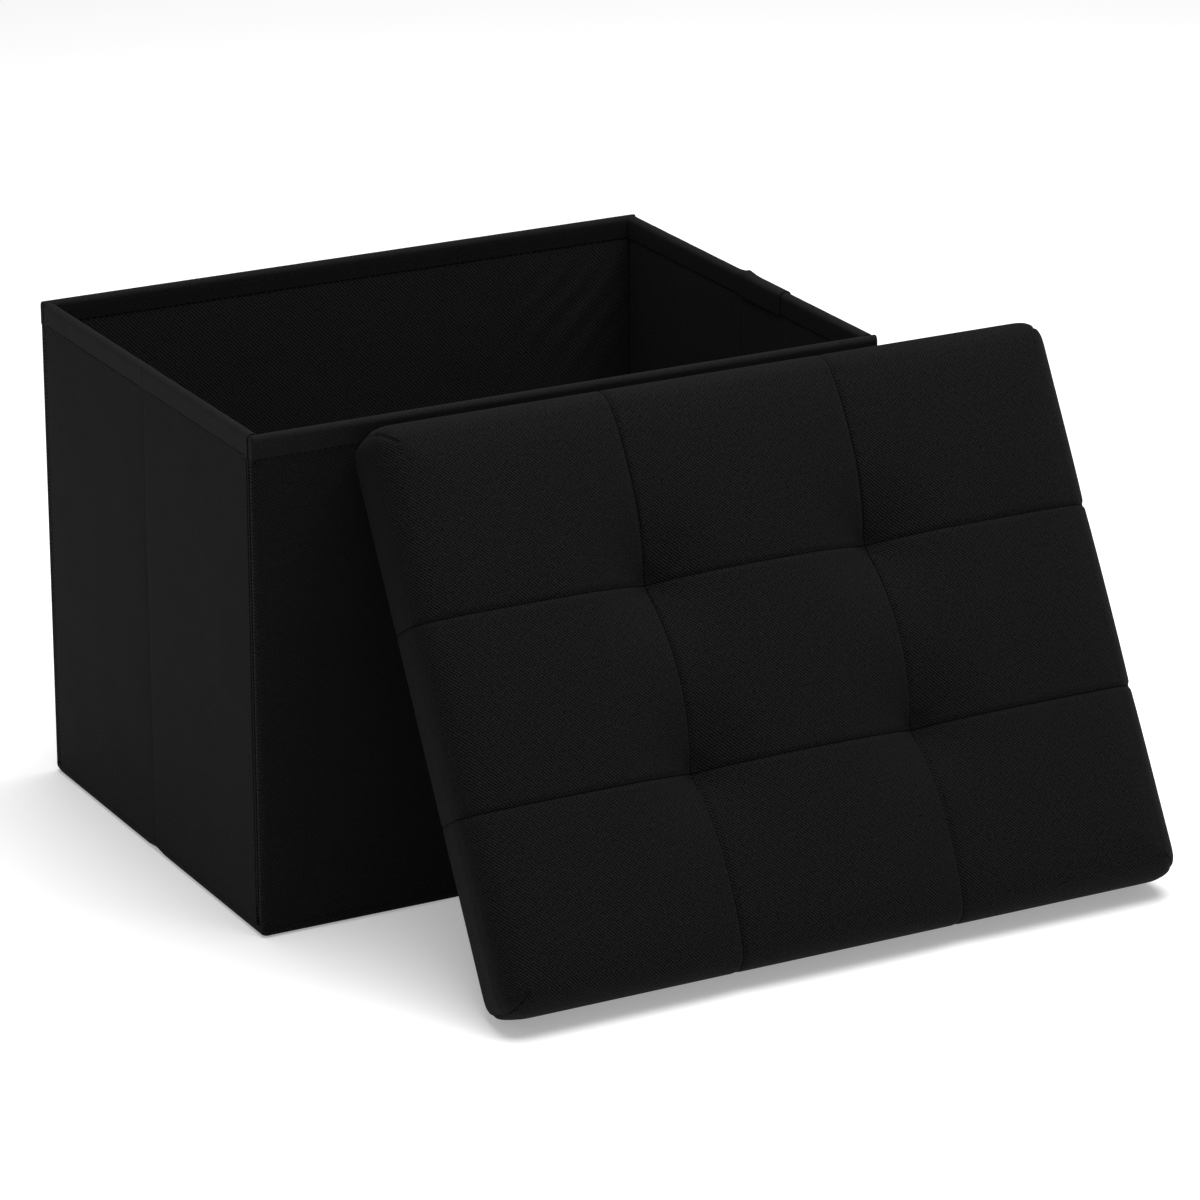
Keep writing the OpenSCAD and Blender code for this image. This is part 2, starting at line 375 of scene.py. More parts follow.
def stitch_row(panel, name, span, z, proud):
    """Stitches along the binding, on both faces of the wall."""
    count = int((span[1] - span[0] - 2 * MM) / STITCH_PITCH)
    start = (span[0] + span[1] - (count - 1) * STITCH_PITCH) / 2
    vertices, faces, coords = [], [], []
    sides = 6
    for outer in (True, False):
        d = -proud if outer else panel.t + proud
        for k in range(count):
            middle = start + k * STITCH_PITCH
            first = len(vertices)
            for share, size in ((-0.5, 0.35), (-0.32, 1), (0.32, 1), (0.5, 0.35)):
                for j in range(sides):
                    turn = 2 * math.pi * j / sides
                    point = panel.place(middle + share * STITCH_L,
                                        d + THREAD_R * size * math.sin(turn),
                                        z + THREAD_R * size * math.cos(turn))
                    vertices.append(point.tolist())
                    coords.append((middle + share * STITCH_L, z, 0))
            faces += grid_faces(4, sides, True, first)
            faces.append(tuple(range(first, first + sides))[::-1])
            faces.append(tuple(range(first + 3 * sides, first + 4 * sides)))
    mesh = bpy.data.meshes.new(name)
    mesh.from_pydata(vertices, [], faces)
    store_weave(mesh, coords)
    finish_object(name, mesh, panel.body, "seam_thread")


PANELS = [
    Panel("front", "front_wall", 0, -1, (OUTER_END_R, OUTER_END_R), LONG_BOW, 11),
    Panel("back", "back_wall", 0, 1, (OUTER_END_R, OUTER_END_R), LONG_BOW, 12),
    Panel("left_front", "left_front_half", 1, -1, (SEWN_END_R, CREASE_END_R), END_BOW, 13),
    Panel("left_rear", "left_rear_half", 1, -1, (CREASE_END_R, SEWN_END_R), END_BOW, 14),
    Panel("right_front", "right_front_half", 1, 1, (SEWN_END_R, CREASE_END_R), END_BOW, 15),
    Panel("right_rear", "right_rear_half", 1, 1, (CREASE_END_R, SEWN_END_R), END_BOW, 16),
]
panel_of = {panel.name: panel for panel in PANELS}


RIGHT_RUCK = 1.3 * MM     # height of the ruck in the rim at the right crease
LEFT_RUCK = 0.4 * MM
RUCK_R = 6 * MM
LONG_RIM_R = 1.8 * MM     # rounding of the binding's ends on the long walls
SHORT_RIM_R = 0.3 * MM
STITCH_PROUD = 0.05 * MM  # how far the stitches' middle stands out from the binding
LAP_PROUD = 0.9 * MM      # how far the lap stands out from the panel
LAP_DROP = 0.5 * MM       # how far the lap goes on below the binding


def crease_bump(panel):
    """How the rim rucks up at the crease of an end wall, most at the right one."""
    def bump(s):
        crease_end = panel.length if panel.name.endswith("front") else 0
        size = RIGHT_RUCK if panel.name.startswith("right_") else LEFT_RUCK
        if panel.long:
            size = 0
        return size * bell(s - crease_end, RUCK_R)
    return bump


for panel in PANELS:
    panel_cloth(panel, False)
    panel_cloth(panel, True)
    height = panel.z1 - panel.z_binding
    rim_end_r = LONG_RIM_R if panel.long else SHORT_RIM_R
    rim_binding(panel, panel.name + "_rim_binding_sewn", [panel.name + "_rim_binding"],
                panel.cloth_span(CORNER_REACH), (rim_end_r, rim_end_r), PROUD, height, crease_bump(panel))
    stitch_row(panel, panel.name + "_rim_stitches", (0, panel.length),
               panel.z_binding + STITCH_UP, PROUD + STITCH_PROUD)

lap_low, lap_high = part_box("binding_lap")
lap_panel = panel_of["right_front"]
lap_span = (lap_low.y - lap_panel.s0, lap_high.y - lap_panel.s0)
rim_binding(lap_panel, "binding_lap_sewn", ["binding_lap"], lap_span, (0.5 * MM, 0.6 * MM), LAP_PROUD,
            lap_panel.z1 - lap_panel.z_binding + LAP_DROP, crease_bump(lap_panel))


# ---- Sewn corners and creases ----

CREASE_THREAD_R = 0.22 * MM
CREASE_IN = 0.25 * MM     # how far in from the wall's face the crease thread lies
STRIP_SQUARE = 0.4        # below 1, a strip's section is a rectangle with soft corners
STRIP_END = 0.6           # how much a strip narrows at its two ends
STRIP_FOOT = 1 * MM       # how far above the hem a strip starts
STRIP_TOP = 1.2 * MM      # how far under the rim it ends
front = panel_of["front"]
left, right = panel_of["left_front"], panel_of["right_front"]


def upright_strip(vertices, faces, coords, x, y, half_x, half_y, z0, z1):
    """A soft strip of cloth that fills the gap at a sewn corner or crease."""
    sides, rows = 12, 24
    first = len(vertices)
    for i in range(rows + 1):
        z = z0 + (z1 - z0) * i / rows
        size = STRIP_END if i in (0, rows) else 1
        for j in range(sides):
            turn = 2 * math.pi * j / sides
            wide = math.copysign(abs(math.cos(turn)) ** STRIP_SQUARE, math.cos(turn))
            deep = math.copysign(abs(math.sin(turn)) ** STRIP_SQUARE, math.sin(turn))
            vertices.append((x + half_x * size * wide, y + half_y * size * deep, z))
            coords.append((j * 0.5 * MM, z, 0))
    faces += grid_faces(rows + 1, sides, True, first)
    faces.append(tuple(range(first, first + sides))[::-1])
    faces.append(tuple(range(first + rows * sides, first + (rows + 1) * sides)))


def sewn_strips(name, node, body, places, half_x, half_y):
    """One piece of upright strips, from just above the hem to just under the rim."""
    vertices, faces, coords = [], [], []
    for x, y in places:
        upright_strip(vertices, faces, coords, x, y, half_x, half_y,
                      front.z0 + STRIP_FOOT, front.z1 - STRIP_TOP)
    mesh = bpy.data.meshes.new(name)
    mesh.from_pydata(vertices, [], faces)
    store_weave(mesh, coords)
    finish_object(name, mesh, body, "cover_cloth", [node])


strip_half = front.t / 2 - 0.2 * MM
corner_y = (front.outer + front.t + left.s0) / 2
corner_half = (left.s0 - front.outer - front.t) / 2 + 0.6 * MM
for name, node, body, y in (
        ("front_corners_sewn", "front_corner_seams", "front_wall", corner_y),
        ("rear_corners_sewn", "rear_corner_seams", "back_wall", -corner_y)):
    places = [(left.outer + front.t / 2, y), (right.outer - front.t / 2, y)]
    sewn_strips(name, node, body, places, strip_half, corner_half)
for side, panel in (("left", left), ("right", right)):
    x = panel.outer + panel.inward * CREASE_IN
    sewn_strips(side + "_crease_sewn", side + "_crease_seam", side + "_front_half", [(x, 0)],
                CREASE_THREAD_R, CREASE_THREAD_R)


# ---- Base ----

def rectangle_ring(low, high, r, steps=40, arc=6):
    """Points round a rectangle with rounded corners, anticlockwise from above."""
    points = []
    corners = [(high[0] - r, low[1] + r, -90), (high[0] - r, high[1] - r, 0),
               (low[0] + r, high[1] - r, 90), (low[0] + r, low[1] + r, 180)]
    for k, (x, y, start) in enumerate(corners):
        for j in range(arc + 1):
            turn = math.radians(start + 90 * j / arc)
            points.append((x + r * math.cos(turn), y + r * math.sin(turn)))
        next_x, next_y, next_start = corners[(k + 1) % 4]
        turn = math.radians(next_start)
        end = (next_x + r * math.cos(turn), next_y + r * math.sin(turn))
        begin = points[-1]
        for j in range(1, steps):
            share = 0.5 - 0.5 * math.cos(math.pi * (j / steps))
            points.append((begin[0] + (end[0] - begin[0]) * share,
                           begin[1] + (end[1] - begin[1]) * share))
    return np.array(points)


def ring_piece(name, rings, lift, body, slot, replaced, thickness, closed_ends):
    """A cloth lofted through rings of equal length, its ends closed by flat faces."""
    count = len(rings[0][0])
    vertices, coords = [], []
    for ring, z in rings:
        for x, y in ring:
            vertices.append((x, y, z + lift(x, y, z)))
            coords.append((x, y + z, 0))
    faces = grid_faces(len(rings), count, True)
    if closed_ends[0]:
        faces.append(tuple(range(count))[::-1])
    if closed_ends[1]:
        first = (len(rings) - 1) * count
        faces.append(tuple(range(first, first + count)))
    mesh = bpy.data.meshes.new(name)
    mesh.from_pydata(vertices, [], faces)
    store_weave(mesh, coords)
    piece = finish_object(name, mesh, body, slot, replaced)
    thicken(piece, thickness)
    return piece


BASE_CORNER_R = 3.2 * MM
BACK_TURN_UP = 8 * MM     # how far the hem is turned up from a back corner, and from a front one
FRONT_TURN_UP = 4 * MM
NICK_H = 1.6 * MM         # the nick in the hem at the foot of a crease
NICK_R = 2.5 * MM
BOARD_COVER_T = 0.3 * MM
COVER_CORNER_R = 1.5 * MM   # small enough to keep the base board's square corners covered
base_low, base_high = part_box("base_cloth")


def corner_lift(x, y, z):
    """The lower edge turns up at the box's corners, most at the back, and nicks at the creases."""
    hem_h = base_high.z
    from_side = min(x - base_low.x, base_high.x - x)
    from_end = min(y - base_low.y, base_high.y - y)
    radius = BACK_TURN_UP if y > 0 else FRONT_TURN_UP
    share = 1 - min(max(z, 0) / hem_h, 1)
    rise = 0.0
    edge = max(from_side, from_end)
    if min(from_side, from_end) < 4 * MM and edge < radius:
        rise = min(radius - math.sqrt(radius ** 2 - (radius - edge) ** 2), hem_h - 0.8 * MM)
    if from_side < 3 * MM:
        rise += NICK_H * math.exp(-(y / NICK_R) ** 2)
    return rise * share


def base_ring(inset, z):
    """A ring of the base cloth, and its height."""
    low = (base_low.x + inset, base_low.y + inset)
    high = (base_high.x - inset, base_high.y - inset)
    return rectangle_ring(low, high, max(BASE_CORNER_R - inset, 0.3 * MM)), z


wall = front.t
hem_top = base_high.z
base_rings = [base_ring(inset * MM, z) for inset, z in (
    (wall / MM - 0.3, 1.3 * MM), (wall / MM - 0.3, hem_top - 0.9 * MM), (wall / MM - 0.9, hem_top - 0.2 * MM),
    (3.5, hem_top), (0.3, hem_top), (0.03, hem_top - 0.15 * MM), (0, 3.6 * MM), (0.15, 2.2 * MM),
    (0.9, 0.9 * MM), (2.2, 0.2 * MM), (3.8, 0.02 * MM), (14, 0.02 * MM))]
base_rings = [(ring[::-1], z) for ring, z in base_rings]
base_cloth = ring_piece("base_cloth_sewn", base_rings, corner_lift, "front_wall", "cover_cloth",
                        ["base_cloth"], THIN_T, (False, True))
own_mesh(base_cloth)

cover_low, cover_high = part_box("base_board_cover")
board_half = (cover_high.z - cover_low.z) / 2
cover_mid = (cover_high.z + cover_low.z) / 2


def cover_ring(inset, z):
    """A ring of the base board's cover, and its height."""
    low = (cover_low.x + inset, cover_low.y + inset)
    high = (cover_high.x - inset, cover_high.y - inset)
    return rectangle_ring(low, high, max(COVER_CORNER_R - inset, 0.5 * MM), steps=24), z


cover_rings = []
for k in range(9):
    turn = math.pi * k / 8 - math.pi / 2
    cover_rings.append(cover_ring(0.5 * MM * (1 - math.cos(turn)), cover_mid + board_half * math.sin(turn)))
cover_rings = [cover_ring(12 * MM, cover_low.z)] + cover_rings + [cover_ring(12 * MM, cover_high.z)]
board_cover = ring_piece("base_board_cover_sewn", cover_rings, lambda x, y, z: 0.0, "base_board",
                         "lining_cloth", ["base_board_cover"], BOARD_COVER_T, (True, True))


# ---- Lid ----

lid_low, lid_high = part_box("lid_cover")
cad_cover = np.array([v.co for v in frame["nodes"]["lid_cover"].data.vertices], float)
# The lid's own axes, from its cover: x along, y up the slope from the foot, z to the cushion
lid_x = (lid_low.x + lid_high.x) / 2
lid_w = lid_high.x - lid_low.x
foot_y = cad_cover[cad_cover[:, 2].argmin(), 1]
back_top = cad_cover[cad_cover[:, 1].argmax()]
lid_d = math.hypot(back_top[1] - foot_y, back_top[2])
lean = math.atan2(back_top[1] - foot_y, back_top[2])
LID = Matrix.Translation((lid_x, foot_y, 0)) @ Matrix.Rotation(math.pi / 2 - lean, 4, "X")
LIP_H = 15 * MM           # depth of the recess under the lid
RAIL_REACH = 11 * MM      # cloth and rail together, from the edge of the lid
EDGE_IN = 10 * MM         # the cushion's rounded edge, measured inwards
SIDE_TOP = 31 * MM        # where the side starts to round over
SIDE_BULGE = 4.5 * MM     # how far the padding pushes the side out, most at its top
SEAM_Z = 47.5 * MM        # height of the seams
CROWN = 3.2 * MM          # how far a tile stands above its seams
CROWN_POWER = 0.42        # below 1 the tiles are flat in the middle and steep at their seams
PINCH = 18 * MM           # how far a crossing is pulled down
DIMPLE_R = 9 * MM         # width of the sharp part of the pinch, and its share
DIMPLE_SHARE = 0.35
HOLLOW_R = 32 * MM        # width of the soft part
EDGE_FALL = 4.2 * MM      # how far the top falls at its edge, and how fast
EDGE_FALL_R = 13 * MM
SEAM_SHIFT = 1 * MM
SEAM_HALF = 1.5 * MM      # half the width of a seam's groove
SEAM_DEPTH = 1.4 * MM
CORNER_SEAM_HALF = 0.9 * MM
SIDE_SWELL = 0.8 * MM     # how far the cloth of the sides stands out between their seams
HELD_HALF = 2.6 * MM      # half the width of the cloth that a seam holds still
FAN = 10 * MM             # distance from a corner within which the side's points fan out
ARC_ROWS = 6              # rings of the cushion's rounded edge
TILES = 3
TOP_STEPS_X = 96
TOP_STEPS_Y = 72
SIMULATED_SWELL = 7 * MM  # cap on how far the simulation may move a point
SIMULATED_FRAMES = 14

half_w, half_d = lid_w / 2 - EDGE_IN, lid_d / 2 - EDGE_IN
LID_LOCAL = LID @ Matrix.Translation((0, lid_d / 2, 0))


def to_world(points):
    """Points of the frame from points in the lid's own axes."""
    turned = np.asarray(points, float) @ np.array(LID.to_3x3()).T
    return turned + np.array(LID.translation)


def seam_sag(x, y):
    """The seams bow towards the crossings, by a small sideways shift of the tiles."""
    return x + SEAM_SHIFT * np.sin(2 * math.pi * (y / lid_d)) * np.cos(math.pi * x / lid_w)


def top_height(x, y):
    """Height of the cushion over its plane: tiles between seams, pinched at the crossings."""
    u = (seam_sag(x, y) / lid_w + 0.5) * TILES
    v = (y / lid_d + 0.5) * TILES
    in_u = np.abs(np.sin(math.pi * u))
    in_v = np.abs(np.sin(math.pi * v))
    in_u = np.where((u < 0.5) | (u > TILES - 0.5), 1, in_u)
    in_v = np.where((v < 0.5) | (v > TILES - 0.5), 1, in_v)
    crown = CROWN * (in_u * in_v) ** CROWN_POWER
    pinch = np.zeros_like(x)
    for i in (1, 2):
        for j in (1, 2):
            away = np.hypot((u - i) / TILES * lid_w, (v - j) / TILES * lid_d)
            pinch += PINCH * (DIMPLE_SHARE * bell(away, DIMPLE_R) + (1 - DIMPLE_SHARE) * bell(away, HOLLOW_R))
    edge = np.minimum(half_w - np.abs(x), half_d - np.abs(y))
    fall = EDGE_FALL * np.exp(-np.clip(edge, 0, None) / EDGE_FALL_R)
    return SEAM_Z + crown - pinch - fall


def ring_point(x, y, out):
    """A point of the top's edge and the way outwards from it, fanned round the corner near one."""
    corner = np.array([math.copysign(half_w, x), math.copysign(half_d, y)])
    gap = np.abs(np.array([x, y]) - corner)
    on_side = gap[0] <= gap[1] if abs(abs(x) - half_w) < 1e-7 else False
    along = gap[1] if on_side else gap[0]
    sign = np.sign(corner)
    share = out / EDGE_IN
    if along <= FAN:
        turn = math.radians(45 * (1 - along / FAN))
        moved = 0.0
    else:
        turn = 0.0
        moved = 2 * (along - FAN) if along < 2 * FAN else along
    along = along + (moved - along) * min(share, 1)
    if on_side:
        base = np.array([corner[0], corner[1] - sign[1] * along])
        direction = np.array([math.cos(turn) * sign[0], math.sin(turn) * sign[1]])
    else:
        base = np.array([corner[0] - sign[0] * along, corner[1]])
        direction = np.array([math.sin(turn) * sign[0], math.cos(turn) * sign[1]])
    return base, direction


def lid_cover_mesh():
    """The cover's mesh in the lid's own axes: its vertices, their flat coordinates and its faces."""
    xs = np.linspace(-half_w, half_w, TOP_STEPS_X + 1)
    ys = np.linspace(-half_d, half_d, TOP_STEPS_Y + 1)
    grid_x, grid_y = np.meshgrid(xs, ys)
    grid_z = top_height(grid_x, grid_y)
    columns = TOP_STEPS_X + 1
    vertices = np.stack([grid_x, grid_y, grid_z], axis=-1).reshape(-1, 3).tolist()
    coords = [(x, y, 0) for x, y, _ in vertices]
    faces = grid_faces(TOP_STEPS_Y + 1, columns)
    loop = list(range(TOP_STEPS_X))
    loop += [i * columns + TOP_STEPS_X for i in range(TOP_STEPS_Y)]
    loop += [TOP_STEPS_Y * columns + j for j in range(TOP_STEPS_X, 0, -1)]
    loop += [i * columns for i in range(TOP_STEPS_Y, 0, -1)]
    edge_z = np.array([vertices[k][2] for k in loop])
    rings = []
    for k in range(1, ARC_ROWS + 1):
        turn = math.pi / 2 * k / ARC_ROWS
        rings.append((EDGE_IN * math.sin(turn) + SIDE_BULGE * math.sin(turn) ** 2, 1 - math.cos(turn)))
    side_heights = [24 * MM, 18 * MM, 12 * MM, 6 * MM, 2.5 * MM]
    lip_in = -(RAIL_REACH + 0.5 * MM)
    # Distance past the lid's edge and height of the rows of cloth that turn round the rail
    under = [(-0.5 * MM, 1.1 * MM), (-1.8 * MM, 0.75 * MM), (-4 * MM, 0.7 * MM),
             (1 * MM - RAIL_REACH, 0.55 * MM), (-(RAIL_REACH + 0.25 * MM), 0.5 * MM), (lip_in, 0.9 * MM),
             (lip_in, 3 * MM), (lip_in, 7 * MM), (lip_in, LIP_H - 1.2 * MM)]
    previous = loop
    run, last_out, last_z = 0.0, 0.0, edge_z[0]
    rows = [("arc", out, drop) for out, drop in rings]
    rows += [("side", EDGE_IN + SIDE_BULGE * (z / SIDE_TOP) ** 0.7, z) for z in side_heights]
    rows += [("side", EDGE_IN + inwards, z) for inwards, z in under]
    for kind, out, drop in rows:
        heights = [edge - (edge - SIDE_TOP) * drop if kind == "arc" else drop for edge in edge_z]
        run += math.hypot(out - last_out, heights[0] - last_z)
        last_out, last_z = out, heights[0]
        current = []
        for top, z in zip(loop, heights):
            base, direction = ring_point(vertices[top][0], vertices[top][1], out)
            place = base + direction * out
            flat = base + direction * run
            current.append(len(vertices))
            vertices.append((place[0], place[1], z))
            coords.append((flat[0], flat[1], 0))
        for k in range(len(loop)):
            following = (k + 1) % len(loop)
            faces.append((previous[k], current[k], current[following], previous[following]))
        previous = current
    return vertices, coords, faces


def pin_weights(vertices):
    """1 where the cover is sewn or held, 0 on the free tiles."""
    points = np.array(vertices)
    u = (seam_sag(points[:, 0], points[:, 1]) / lid_w + 0.5) * TILES
    v = (points[:, 1] / lid_d + 0.5) * TILES
    to_seam = np.minimum(np.abs(u - np.round(np.clip(u, 1, 2))) * lid_w / TILES,
                         np.abs(v - np.round(np.clip(v, 1, 2))) * lid_d / TILES)
    weights = np.where(to_seam < HELD_HALF, 1.0, 0.0)
    weights = np.where(points[:, 2] < SIDE_TOP - 3 * MM, 1.0, weights)
    return weights


def swell_tiles(piece, weights):
    """Lets the cloth settle over the padding under a light pressure, and caps its travel."""
    group = piece.vertex_groups.new(name="held")
    for index, weight in enumerate(weights):
        if weight > 0:
            group.add([index], float(weight), "REPLACE")
    before = np.array([v.co for v in piece.data.vertices], float)
    cloth = piece.modifiers.new("cloth", "CLOTH")
    settings = cloth.settings
    settings.quality = 6
    settings.mass = 0.3
    settings.vertex_group_mass = "held"
    settings.use_pressure = True
    settings.uniform_pressure_force = 1.6
    settings.effector_weights.gravity = 0
    settings.tension_stiffness = 25
    settings.compression_stiffness = 8
    settings.shear_stiffness = 6
    settings.bending_stiffness = 1.2
    cloth.collision_settings.use_collision = False
    cloth.collision_settings.use_self_collision = False
    scene = bpy.context.scene
    cloth.point_cache.frame_start = 1
    cloth.point_cache.frame_end = SIMULATED_FRAMES
    for frame_number in range(1, SIMULATED_FRAMES + 1):
        scene.frame_set(frame_number)
    shown = piece.evaluated_get(bpy.context.evaluated_depsgraph_get())
    after = np.array([v.co for v in shown.data.vertices], float)
    piece.modifiers.remove(cloth)
    scene.frame_set(1)
    move = after - before
    far = np.linalg.norm(move, axis=1, keepdims=True)
    move *= np.minimum(1, SIMULATED_SWELL / np.maximum(far, 1e-9))
    piece.data.vertices.foreach_set("co", (before + move).ravel())
    piece.data.update()


def sharpen_seams(piece):
    """Draws the narrow sewn line along each seam, after the swelling and the smoothing."""
    points = np.array([v.co for v in piece.data.vertices], float)
    normals = np.array([v.normal for v in piece.data.vertices], float)
    x, y = points[:, 0], points[:, 1]
    u = (seam_sag(x, y) / lid_w + 0.5) * TILES
    v = (y / lid_d + 0.5) * TILES
    groove = np.zeros(len(points))
    for k in (1, 2):
        to_u = (u - k) / TILES * lid_w
        to_v = (v - k) / TILES * lid_d
        groove = np.maximum(groove, bell(to_u, SEAM_HALF))
        groove = np.maximum(groove, bell(to_v, SEAM_HALF))
    past_x, past_y = np.abs(x) - half_w, np.abs(y) - half_d
    at_corner = (past_x > 0) & (past_y > 0)
    groove = np.maximum(groove, at_corner * bell((past_x - past_y) / math.sqrt(2), CORNER_SEAM_HALF))
    z = points[:, 2]
    side = np.clip((SIDE_TOP - z) / (5 * MM), 0, 1) * np.clip((z - 2 * MM) / (3 * MM), 0, 1)
    top = np.clip((z - SIDE_TOP) / (5 * MM), 0, 1) * (z > SIDE_TOP - 15 * MM)
    points += normals * ((1 - groove) * side * SIDE_SWELL - groove * top * SEAM_DEPTH)[:, None]
    piece.data.vertices.foreach_set("co", points.ravel())
    piece.data.update()


SEAM_THREAD_R = 0.4 * MM
CORD_R = 1.2 * MM
CORD_SIDES = 10
RAY_Z = 24 * MM           # height inside the cushion from which its surface is looked for


def surface_point(tree, start, way):
    """The point and normal of the cushion met from inside, in a list, or an empty list."""
    found = tree.ray_cast(LID_LOCAL @ Vector(start), LID_LOCAL.to_3x3() @ Vector(way))
    return [] if found[0] is None else [(found[0], found[1])]


def seam_lines():
    """Sewn lines in the grooves of the cushion, found on its surface from inside."""
    tree = BVHTree.FromObject(cushion, bpy.context.evaluated_depsgraph_get())
    made_vertices, made_faces, made_coords = [], [], []
    for along_x in (True, False):
        reach = half_w if along_x else half_d
        across = lid_d if along_x else lid_w
        for k in (1, 2):
            fixed = across * (k / TILES - 0.5)
            path = [(t, 90.0, RAY_Z) for t in np.linspace(0, reach, 56)]
            path += [(reach, turn, RAY_Z) for turn in np.linspace(86, 2, 14)]
            path += [(reach, 0.0, z) for z in np.linspace(RAY_Z - 2 * MM, 4 * MM, 5)]
            line = []
            for t, turn, z in [(-t, 180 - turn, z) for t, turn, z in path[:0:-1]] + path:
                lift = math.radians(turn)
                if along_x:
                    start, way = (t, fixed, z), (math.cos(lift), 0, math.sin(lift))
                else:
                    start, way = (fixed, t, z), (0, math.cos(lift), math.sin(lift))
                line += surface_point(tree, start, way)
            add_tube(line, made_vertices, made_faces, made_coords)
    for side_x in (-1, 1):
        for side_y in (-1, 1):
            path = [(turn, RAY_Z) for turn in np.linspace(48, 0, 8)]
            path += [(0.0, z) for z in np.linspace(RAY_Z - 2 * MM, 4 * MM, 5)]
            line = []
            for turn, z in path:
                flat = math.cos(math.radians(turn)) * math.sqrt(0.5)
                line += surface_point(tree, (side_x * half_w, side_y * half_d, z),
                                      (side_x * flat, side_y * flat, math.sin(math.radians(turn))))
            add_tube(line, made_vertices, made_faces, made_coords)
    mesh = bpy.data.meshes.new("lid_seam_threads")
    mesh.from_pydata(made_vertices, [], made_faces)
    store_weave(mesh, made_coords)
    finish_object("lid_seam_threads", mesh, "lid", "seam_thread")


def add_tube(line, made_vertices, made_faces, made_coords):
    """A thin thread along points on a surface, half sunk in it."""
    sides = 6
    first = len(made_vertices)
    run = 0.0
    for k, (point, normal) in enumerate(line):
        forward = (line[min(k + 1, len(line) - 1)][0] - line[max(k - 1, 0)][0]).normalized()
        sideways = forward.cross(normal).normalized()
        if k:
            run += (point - line[k - 1][0]).length
        for j in range(sides):
            turn = 2 * math.pi * j / sides
            offset = sideways * math.cos(turn) + normal * (math.sin(turn) * 0.7 - 0.2)
            made_vertices.append(tuple(point + offset * SEAM_THREAD_R))
            made_coords.append((run, j * 0.3 * MM, 0))
    made_faces += grid_faces(len(line), sides, True, first)
    made_faces.append(tuple(range(first, first + sides))[::-1])
    last = first + (len(line) - 1) * sides
    made_faces.append(tuple(range(last, last + sides)))


vertices, coords, faces = lid_cover_mesh()
mesh = bpy.data.meshes.new("lid_cushion")
mesh.from_pydata([tuple(p) for p in vertices], [], faces)
store_weave(mesh, coords)
mesh.update()
cushion = bpy.data.objects.new("lid_cushion", mesh)
bpy.context.scene.collection.objects.link(cushion)
for polygon in mesh.polygons:
    polygon.use_smooth = True
swell_tiles(cushion, pin_weights(vertices))
smooth = cushion.modifiers.new("smooth", "SUBSURF")
smooth.levels = 2
smooth.render_levels = 2
apply_modifiers(cushion)
sharpen_seams(cushion)
points = np.array([v.co for v in cushion.data.vertices], float) + np.array([0, lid_d / 2, 0])
cushion.data.vertices.foreach_set("co", to_world(points).ravel())
cushion.data.update()
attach(cushion, "lid")
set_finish(cushion, "cover_cloth")
seam_lines()
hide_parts("lid_cover", "lid_foam")

inner_w = lid_w - 2 * RAIL_REACH - 0.6 * MM
inner_d = lid_d - 2 * RAIL_REACH - 0.6 * MM
lx = np.linspace(-inner_w / 2, inner_w / 2, 60)
ly = np.linspace(-inner_d / 2, inner_d / 2, 46)
lx, ly = np.meshgrid(lx, ly)
edge_x = inner_w / 2 - np.abs(lx)
edge_y = inner_d / 2 - np.abs(ly)
sag = 0.9 * MM * ripple(lx, ly, 31, 50 * MM, 150 * MM) * np.clip(np.minimum(edge_x, edge_y) / (20 * MM), 0, 1)
lining_points = np.stack([lx, ly + lid_d / 2, LIP_H - 0.9 * MM - sag], axis=-1)
lid_lining = cloth_sheet("lid_lining_sewn", to_world(lining_points), np.stack([lx, ly, 0 * lx], axis=-1),
                         "lid", "lining_cloth", ["lid_lining"], 0.6 * MM, flip=True)

cord_vertices, cord_faces, cord_coords = [], [], []
cord_top = SEAM_Z - PINCH - 1.5 * MM
for i in (1, 2):
    for j in (1, 2):
        x = lid_w * (i / TILES - 0.5)
        y = lid_d * j / TILES
        first = len(cord_vertices)
        for z in (LIP_H + 1.5 * MM, cord_top):
            for k in range(CORD_SIDES):
                turn = 2 * math.pi * k / CORD_SIDES
                cord_vertices.append((x + CORD_R * math.cos(turn), y + CORD_R * math.sin(turn), z))
                cord_coords.append((k * 0.4 * MM, z, 0))
        cord_faces += grid_faces(2, CORD_SIDES, True, first)
        cord_faces.append(tuple(range(first, first + CORD_SIDES))[::-1])
        cord_faces.append(tuple(range(first + CORD_SIDES, first + 2 * CORD_SIDES)))
mesh = bpy.data.meshes.new("tuft_cords_tied")
mesh.from_pydata(to_world(cord_vertices).tolist(), [], cord_faces)
store_weave(mesh, cord_coords)
finish_object("tuft_cords_tied", mesh, "lid", "seam_thread", ["tuft_cords"])


# ---- Materials ----

